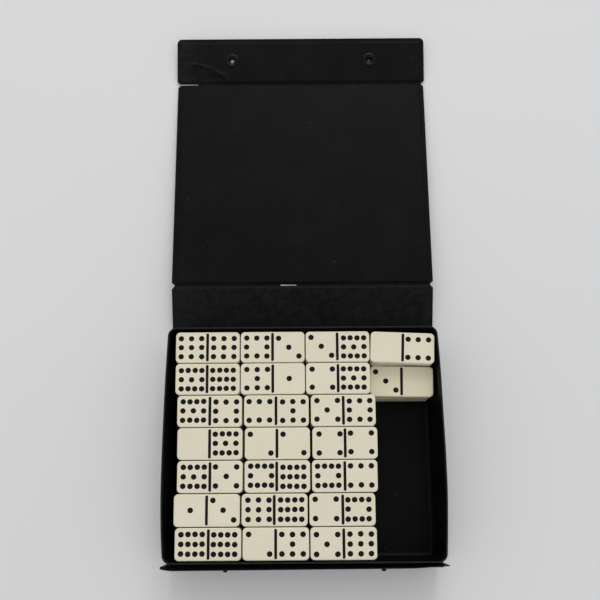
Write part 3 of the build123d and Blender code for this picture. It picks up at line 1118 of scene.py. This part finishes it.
def dot_pattern(number):
    """The dots of one half, as shares of the dot spacing each way from the half's centre."""
    centre = [(0, 0)]
    two = [(-1, 1), (1, -1)]
    four = two + [(1, 1), (-1, -1)]
    six = four + [(0, 1), (0, -1)]
    sides = [(-1, 0), (1, 0)]
    third = 1 / 3
    ten = four + [(third, 1), (-third, 1), (third, -1), (-third, -1)] + sides
    twelve = ten + [(third, 0), (-third, 0)]
    return ([], centre, two, two + centre, four, four + centre, six, six + centre, six + sides,
            six + sides + centre, ten, ten + centre, twelve)[number]


print("dots on the top tiles:", sum(sum(pair) for pairs in tile_numbers for pair in pairs))

# %% [markdown]
# The dots are drilled and the bar is milled, and both are filled with paint. A half is drilled in
# one go, so its dots are out of place together, and each of them a little more by itself. For
# the paint, every point keeps its signed distance to the nearest hollow's rim.

# %% Dots and bar
dot_across, dot_along, half_centre = 7.84 * MM, 7.1 * MM, 12.25 * MM
dot_radius, dot_depth = 2.12 * MM, 0.4 * MM
bar_half_width, bar_half_length, bar_depth = 1.08 * MM, 11.1 * MM, 0.35 * MM
bar_slope = 0.7 * bar_half_width
drill_slip = 0.22 * MM


def tile_dots(pair, rng):
    """All the dots of a tile, in metres from its centre, with the slips of the drill."""
    dots = [(side * half_centre + x * dot_across, y * dot_along, side)
            for side, number in zip((-1, 1), pair) for x, y in dot_pattern(number)]
    dots = np.array(dots).reshape(-1, 3)
    half_slips = rng.normal(0, drill_slip, (2, 2))[(dots[:, 2] > 0).astype(int)]
    return dots[:, :2] + half_slips + rng.normal(0, drill_slip / 3, (len(dots), 2))


def hollow_distance(x, y, dots, bar_slip):
    """Signed distance to the nearest rim of a dot or of the bar, and the depth at each point.

    The distance is negative inside. A dot is a bowl, deep by one less the square of the share
    of its radius, and the bar is a trough with round ends."""
    past_end = np.maximum(np.abs(y) - (bar_half_length - bar_half_width), 0)
    nearest = np.hypot(x - bar_slip, past_end) - bar_half_width
    depth = bar_depth * smooth(-nearest / bar_slope)
    if len(dots):
        gaps = np.hypot(x[..., None] - dots[:, 0], y[..., None] - dots[:, 1]).min(axis=-1)
        nearest = np.minimum(nearest, gaps - dot_radius)
        depth = np.maximum(depth, dot_depth * np.clip(1 - (gaps / dot_radius) ** 2, 0, 1))
    return nearest, depth


print("a dot is", round(2 * dot_radius / MM, 2), "mm wide")

# %% [markdown]
# A tile's top is a grid whose columns are shortened at the corners to keep the round outline, and
# the hollows are pressed into it. Rings then carry the outline over the rounded edge, down the
# side and round the foot.

# %% Tile shape
tile_length, tile_width, tile_thickness = 49.2 * MM, 24.1 * MM, 9.0 * MM
tile_corner, tile_edge = 3.2 * MM, 0.8 * MM
tile_step = 0.42 * MM
# Painted shade on the rings of a tile's outline, from its top edge down to the seam below it.
ring_painted_shade = (0.1, 0.15, 0.25, 0.35, 0.45, 0.6, 0.85, 1, 1, 1, 1)


def tile_top():
    """Grid of the flat top inside its rounded edge: fine columns at the ends, cut to an arc."""
    half_x, half_y = tile_length / 2 - tile_edge, tile_width / 2 - tile_edge
    radius = tile_corner - tile_edge
    arc = radius * (1 - np.cos(np.linspace(0, pi / 2, 7)))
    middle_steps = int(round((2 * half_x - 2 * radius) / tile_step))
    middle = np.linspace(radius, 2 * half_x - radius, middle_steps + 1)
    x_line = np.concatenate([arc[:-1], middle, 2 * half_x - arc[-2::-1]]) - half_x
    into_corner = np.maximum(np.abs(x_line) - (half_x - radius), 0)
    end = half_y - radius + np.sqrt(np.maximum(radius**2 - into_corner**2, 0))
    share = np.linspace(-1, 1, int(round(2 * half_y / tile_step)) + 1)
    return np.broadcast_to(x_line, (len(share), len(x_line))), share[:, None] * end


def tile_rings(rim_x, rim_y):
    """The outline carried down: a quarter round at the top edge, the side, and one at the foot.

    The nearest point of the core rectangle, which is smaller by the corner radius, gives each rim
    point its outward direction."""
    core_x, core_y = tile_length / 2 - tile_corner, tile_width / 2 - tile_corner
    core = np.stack([np.clip(rim_x, -core_x, core_x), np.clip(rim_y, -core_y, core_y)], axis=1)
    outwards = np.stack([rim_x, rim_y], axis=1) - core
    outwards /= np.linalg.norm(outwards, axis=1, keepdims=True)
    turn = np.linspace(0, pi / 2, 6)[1:]
    reach = tile_corner - tile_edge * np.concatenate([1 - np.sin(turn), [0], 1 - np.cos(turn)])
    drop = np.concatenate([tile_edge * (1 - np.cos(turn)), [tile_thickness - tile_edge],
                           tile_thickness - tile_edge * (1 - np.sin(turn))])
    flat = core + reach[:, None, None] * outwards
    return np.concatenate([flat, np.broadcast_to(-drop[:, None, None], (*flat.shape[:2], 1))], axis=-1)


def painted_shade_of_rings(count):
    """Painted shade on each ring of so many points: it deepens towards the seam between two layers."""
    return np.repeat(ring_painted_shade, count)


print("a tile's top has", tile_top()[0].size, "points")

# %% [markdown]
# The imported model says where each tile lies, and one of them is turned a little. The seed of a
# tile comes from its row and place, and gives its tint and its slips, always in the same order.
# The last tile of the second stack lies a layer lower than its neighbours, and its warmer, darker tint
# is painted shade.

# %% Top tiles
least_extra = 0.05 * MM
tint_range = 0.25
bar_slip_share = 1.4
# Painted shade: a warmer, darker tint for the tile that lies a layer lower.
painted_shade_tile, painted_shade_tint = (1, 3), 0.6


def tile_place(node):
    """Centre, turn and top of a packed tile: its box's centre, and the turn from the box's size.

    The box of a turned tile is deeper by the tile's length times the sine of the turn."""
    low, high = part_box(node)
    extra = (high.y - low.y) - tile_width
    turn = -extra / tile_length if extra > least_extra else 0.0
    return (low.x + high.x) / 2, (low.y + high.y) / 2, turn, low.z + tile_thickness


def set_down(points, x, y, turn, top):
    """Turns points about the vertical and moves them to a place."""
    return np.stack([points[..., 0] * cos(turn) - points[..., 1] * sin(turn) + x,
                     points[..., 0] * sin(turn) + points[..., 1] * cos(turn) + y,
                     points[..., 2] + top], axis=-1)


def make_tile(row, column, pair):
    """A tile on top of its stack, with its dots and its bar pressed in."""
    node = f"tile_row_{row + 1}_place_{column + 1}"
    rng = np.random.default_rng(40 + 7 * row + column)
    tint = tint_range * rng.random() + (painted_shade_tint if (row, column) == painted_shade_tile else 0)
    dots = tile_dots(pair, rng)
    x, y = tile_top()
    distance, depth = hollow_distance(x, y, dots, rng.normal(0, bar_slip_share * drill_slip))
    top = np.stack([x, y, -depth], axis=-1)
    rim = grid_rim(*x.shape)
    rings = tile_rings(x.ravel()[rim], y.ravel()[rim])
    ring_points = rings[..., 0].size
    loops = [rim, *(x.size + np.arange(ring_points)).reshape(-1, len(rim))]
    sides = [rim_faces(lower, upper) for upper, lower in zip(loops, loops[1:])]
    points = np.concatenate([top.reshape(-1, 3), rings.reshape(-1, 3)])
    paint = np.concatenate([distance.ravel() / MM, np.ones(ring_points)])
    # Painted shade down the sides, and none on the top face.
    painted_shade = np.concatenate([np.zeros(x.size), painted_shade_of_rings(len(rim))])
    piece = make_piece(f"{node}_resin", set_down(points, *tile_place(node)),
                       np.concatenate([grid_faces(*x.shape), *sides]), [loops[-1][::-1]],
                       tile_ivory, "case", "tile_ivory", paint=paint, edge=painted_shade, tint=tint)
    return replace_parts(piece, node)


for row, pairs in enumerate(tile_numbers):
    for column, pair in enumerate(pairs):
        make_tile(row, column, pair)
print("top tiles:", sum(len(pairs) for pairs in tile_numbers))

# %% [markdown]
# The lower tiles show only their sides, so each is the outline alone, carried from one flat face
# to the other. The tiles of a layer are one piece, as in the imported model. Each lies under the
# tile on top of its stack, squared up. The first three of a row have a small random slip, and the
# fourth has no room for one.

# %% Lower tiles
tile_layers = 4
lower_slip, slipping_places = 0.15 * MM, 3
# The lower tiles carry more of the painted seam shade than the top ones.
lower_painted_shade, lower_tint = 0.15, 0.25
same_height = 0.1 * MM


def outline_rim(corner_points):
    """The rounded outline inside the tile's edge: a quarter circle at each corner."""
    radius = tile_corner - tile_edge
    angle = (np.arange(4)[:, None] * pi / 2 + np.linspace(0, pi / 2, corner_points)).ravel()
    sign_x, sign_y = (np.repeat(signs, corner_points) for signs in ([1, -1, -1, 1], [1, 1, -1, -1]))
    return (sign_x * (tile_length / 2 - tile_corner) + radius * np.cos(angle),
            sign_y * (tile_width / 2 - tile_corner) + radius * np.sin(angle))


def make_layer(layer):
    """All the tiles of one lower layer as one piece of separate closed bodies."""
    rim_x, rim_y = outline_rim(6)
    upper_face = np.stack([rim_x, rim_y, 0 * rim_x], axis=1)
    rings = np.concatenate([upper_face[None], tile_rings(rim_x, rim_y)])
    rows, count = rings.shape[:2]
    loop = np.arange(count)
    layer_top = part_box(f"tiles_layer_{layer}")[1].z
    rng = np.random.default_rng(layer)
    points, quads, caps = [], [], []
    for row, pairs in enumerate(tile_numbers):
        for column in range(len(pairs)):
            x, y, _, top = tile_place(f"tile_row_{row + 1}_place_{column + 1}")
            if top < layer_top + same_height:
                continue
            first = rows * count * len(points)
            slip_x, slip_y = rng.uniform(-lower_slip, lower_slip, 2) * (column < slipping_places)
            points.append(set_down(rings, x + slip_x, y + slip_y, 0.0, layer_top).reshape(-1, 3))
            quads.append(grid_faces(rows, count, first, closed=True)[:, ::-1])
            caps += [first + loop, first + (rows - 1) * count + loop[::-1]]
    # Painted shade: full on the upper face at the seam, and deeper down the sides than on a top tile.
    painted_shade = np.concatenate([np.ones(count), painted_shade_of_rings(count) + lower_painted_shade])
    piece = make_piece(f"tiles_layer_{layer}_resin", np.concatenate(points), np.concatenate(quads), caps,
                       tile_ivory, "case", "tile_ivory", paint=1.0, edge=np.tile(painted_shade, len(points)),
                       tint=lower_tint)
    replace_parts(piece, f"tiles_layer_{layer}")
    return len(points)


print("lower tiles:", [make_layer(layer) for layer in range(1, tile_layers)])

# %% [markdown]
# ## The snaps
# A snap's parts are all round, so each is a profile turned about an axis. The profile is given as
# radius and height in millimetres, and a short formula rounds its corners. The same function
# makes studs, rivets, sockets, eyelets and caps.

# %% Turned parts
turned_steps = 56
at_axis = 0.01


def turned(name, profile, centre, axis, material, body, slot, edge_toned, hollow=False):
    """Turns a profile of radius and height, in mm, about an axis through a centre.

    A hollow profile is a loop, joined from its last point to its first; another is closed by
    discs. A point is the centre, plus height along the axis, plus radius times the cosine and
    sine of the turn along two directions square to the axis."""
    radius, height = (np.array(profile) * MM).T
    axis = np.array(axis, float) / np.linalg.norm(axis)
    sideways = np.array([1.0, 0, 0])
    other = np.cross(axis, sideways)
    angle = np.linspace(0, 2 * pi, turned_steps, endpoint=False)
    spoke = np.cos(angle)[:, None] * sideways + np.sin(angle)[:, None] * other
    points = np.array(centre) + height[:, None, None] * axis + radius[:, None, None] * spoke
    count = len(radius) * turned_steps
    quads = grid_faces(len(radius) + hollow, turned_steps, closed=True) % count
    ring = np.arange(turned_steps)
    caps = [] if hollow else [ring[::-1], count - turned_steps + ring]
    return make_piece(name, points.reshape(-1, 3), quads, caps, material, body, slot,
                      edge=np.repeat(edge_toned, turned_steps))


def bead(radius, height, half_width, rise, points=9):
    """Half an ellipse over a ring, from its outside to its inside."""
    turn = np.linspace(0, pi, points)
    return np.stack([radius + half_width * np.cos(turn), height + rise * np.sin(turn)], axis=1).tolist()


print("sides of a turned part:", turned_steps)

# %% [markdown]
# The stud has a flange, a neck and a round head that snaps past the socket's spring. Behind the
# front panel a rivet holds it. All are plated, and worn bright where they stand highest.

# %% Studs and rivets
flange_radius, flange_height, flange_edge = 6.1, 0.8, 0.35
neck_profile = [(2.6, flange_height), (1.9, 0.86), (1.5, 1.05)]
head_radius, head_centre = 1.9, 2.3
wear_depth = 1.2
rivet_profile = [(at_axis, 0), (3.9, 0), (4.0, 0.1), (4.0, 0.3), (3.9, 0.4), (1.3, 0.4), (1.3, 3.2),
                 (at_axis, 3.2)]


def stud_profile():
    """Flange, neck and head: the head is most of a circle, which closes at the tip."""
    quarter, around = np.linspace(0, pi / 2, 6), np.linspace(-0.7, pi / 2, 10)
    rim = np.stack([flange_radius - flange_edge + flange_edge * np.cos(quarter),
                    flange_height - flange_edge + flange_edge * np.sin(quarter)], axis=1)
    head = np.stack([head_radius * np.cos(around), head_centre + head_radius * np.sin(around)], axis=1)
    underside = [(at_axis, 0), (flange_radius - 0.1, 0), (flange_radius, 0.1)]
    tip = (at_axis, head_centre + head_radius)
    return [*underside, *rim.tolist(), *neck_profile, *head.tolist()[:-1], tip]


def make_front_snap(side):
    """Stud outside and rivet flange inside the front panel."""
    low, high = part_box(f"snap_stud_{side}")
    centre = ((low.x + high.x) / 2, high.y, (low.z + high.z) / 2)
    profile = stud_profile()
    below_tip = head_centre + head_radius - np.array(profile)[:, 1]
    stud = turned(f"snap_stud_{side}_metal", profile, centre, (0, -1, 0), plated_metal, "case",
                  "snap_metal", np.clip(1 - below_tip / wear_depth, 0, 1))
    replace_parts(stud, f"snap_stud_{side}")
    behind = (centre[0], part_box(f"snap_rivet_{side}")[1].y, centre[2])
    rivet = turned(f"snap_rivet_{side}_metal", rivet_profile, behind, (0, -1, 0), plated_metal, "case",
                   "snap_metal", np.zeros(len(rivet_profile)))
    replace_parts(rivet, f"snap_rivet_{side}")


print("a stud's profile has", len(stud_profile()), "points")

# %% [markdown]
# The socket is a ring with an open bore that goes down into the lining's pit, and a bright eyelet
# lies like a dish at the bottom of it. The left one has seen more use. The cap on the flap's
# outside is a low dome.

# %% Sockets and caps
panel_height = 2.8
socket_profile = [(3.4, -2.7), (3.4, 0.0), (6.1, 0.0), *bead(4.5, 0.1, 1.6, 0.55),
                  *bead(2.9, 0.2, 0.35, 0.35), (2.5, 0.0), (2.5, -2.7)]
socket_wear = [0, 0, 0.2, *np.linspace(0.25, 0.1, 9), *np.full(9, 0.3), 0.3, 0.1]
eyelet_profile = [(at_axis, -2.55), (2.45, -2.55), (2.45, -2.1), (2.2, -2.0), (1.75, -2.1),
                  (1.45, -2.35), (1.2, -2.51), (at_axis, -2.525)]
eyelet_rim_wear, eyelet_middle_wear = 0.15, {"left": 1.0, "right": 0.55}
cap_radius, cap_wall, cap_rise, cap_roundness, cap_wear = 6.1, 0.3, 0.95, 0.6, 0.2


def cap_profile():
    """A low dome: its radius falls as a power of a cosine while its height rises as a sine."""
    dome = [(cap_radius * cos(turn) ** cap_roundness + at_axis, cap_wall + cap_rise * sin(turn))
            for turn in np.linspace(0, 1, 8) * pi / 2]
    return [(at_axis, 0), (cap_radius - 0.2, 0), (cap_radius, cap_wall / 2), *dome]


def make_flap_snap(side, place):
    """Socket ring and eyelet on the lining, cap on the outside of the flap."""
    flap, (across, along) = panels["flap"], place
    middle = flap["start"] + along * flap["along"] + np.array([across, 0, 0])
    on_face = middle + flap["up"] * panel_height / 2 * MM
    on_back = on_face - flap["up"] * panel_height * MM
    socket = turned(f"snap_socket_{side}_metal", socket_profile, on_face, flap["up"], plated_metal,
                    "flap", "snap_metal", socket_wear, hollow=True)
    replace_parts(socket, f"snap_socket_{side}")
    edge_amount = np.linspace(eyelet_rim_wear, eyelet_middle_wear[side], len(eyelet_profile))
    turned(f"snap_eyelet_{side}", eyelet_profile, on_face, flap["up"], bright_metal, "flap",
           "snap_metal", edge_amount)
    profile = cap_profile()
    cap = turned(f"snap_cap_{side}_enamel", profile, on_back, -flap["up"], cap_enamel, "flap",
                 "snap_cap_enamel", np.full(len(profile), cap_wear))
    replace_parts(cap, f"snap_cap_{side}")


for side, place in zip(("left", "right"), snap_places()):
    make_front_snap(side)
    make_flap_snap(side, place)
print("a socket's profile has", len(socket_profile), "points")

# %% [markdown]
# ## Table and light
# The table is a plain pale sheet, wide enough for every view. The light in the photograph comes
# softly from behind and above, so one large lamp stands there, far enough back that the lid
# doesn't mirror it, and an even sky fills the shadows.

# %% Table, lamp and sky
table_reach = 6.0
table_colours = (0.66, 0.665, 0.675, 1), (0.70, 0.70, 0.705, 1)
lamp_place, lamp_aim, lamp_size, lamp_power = (0.25, 2.8, 1.9), (0, 0.1, 0), 1.6, 38.0
sky_strength = 0.78


def make_table():
    """A pale floor with very faint clouds in its colour."""
    corners = [(x * table_reach, y * table_reach, 0) for x, y in ((-1, -1), (1, -1), (1, 1), (-1, 1))]
    mesh = bpy.data.meshes.new("table")
    mesh.from_pydata(corners, [], [(0, 1, 2, 3)])
    material, wiring, shader, place = new_material("table paper")
    clouds = wiring.noise(place, scale=3.0, detail=2.0)
    wiring.put(shader.inputs["Base Color"], wiring.mix(clouds, *table_colours))
    shader.inputs["Roughness"].default_value = 0.9
    shader.inputs["Specular IOR Level"].default_value = 0.1
    mesh.materials.append(material)
    table = bpy.data.objects.new("table", mesh)
    bpy.context.scene.collection.objects.link(table)


def make_lamp(name, place, aim, size, power):
    """A square area lamp that faces a point."""
    data = bpy.data.lights.new(name, "AREA")
    data.shape = "SQUARE"
    data.size = size
    data.energy = power
    lamp = bpy.data.objects.new(name, data)
    bpy.context.scene.collection.objects.link(lamp)
    lamp.location = place
    lamp.rotation_euler = (Vector(aim) - Vector(place)).to_track_quat("-Z", "Y").to_euler()


def make_sky(strength):
    """An even sky."""
    world = bpy.data.worlds.new("sky")
    world.use_nodes = True
    background = world.node_tree.nodes["Background"]
    background.inputs["Color"].default_value = (1.0, 1.0, 1.0, 1.0)
    background.inputs["Strength"].default_value = strength
    bpy.context.scene.world = world


make_table()
make_lamp("window lamp", lamp_place, lamp_aim, lamp_size, lamp_power)
make_sky(sky_strength)
print("lamp:", lamp_power, "W, sky:", sky_strength)
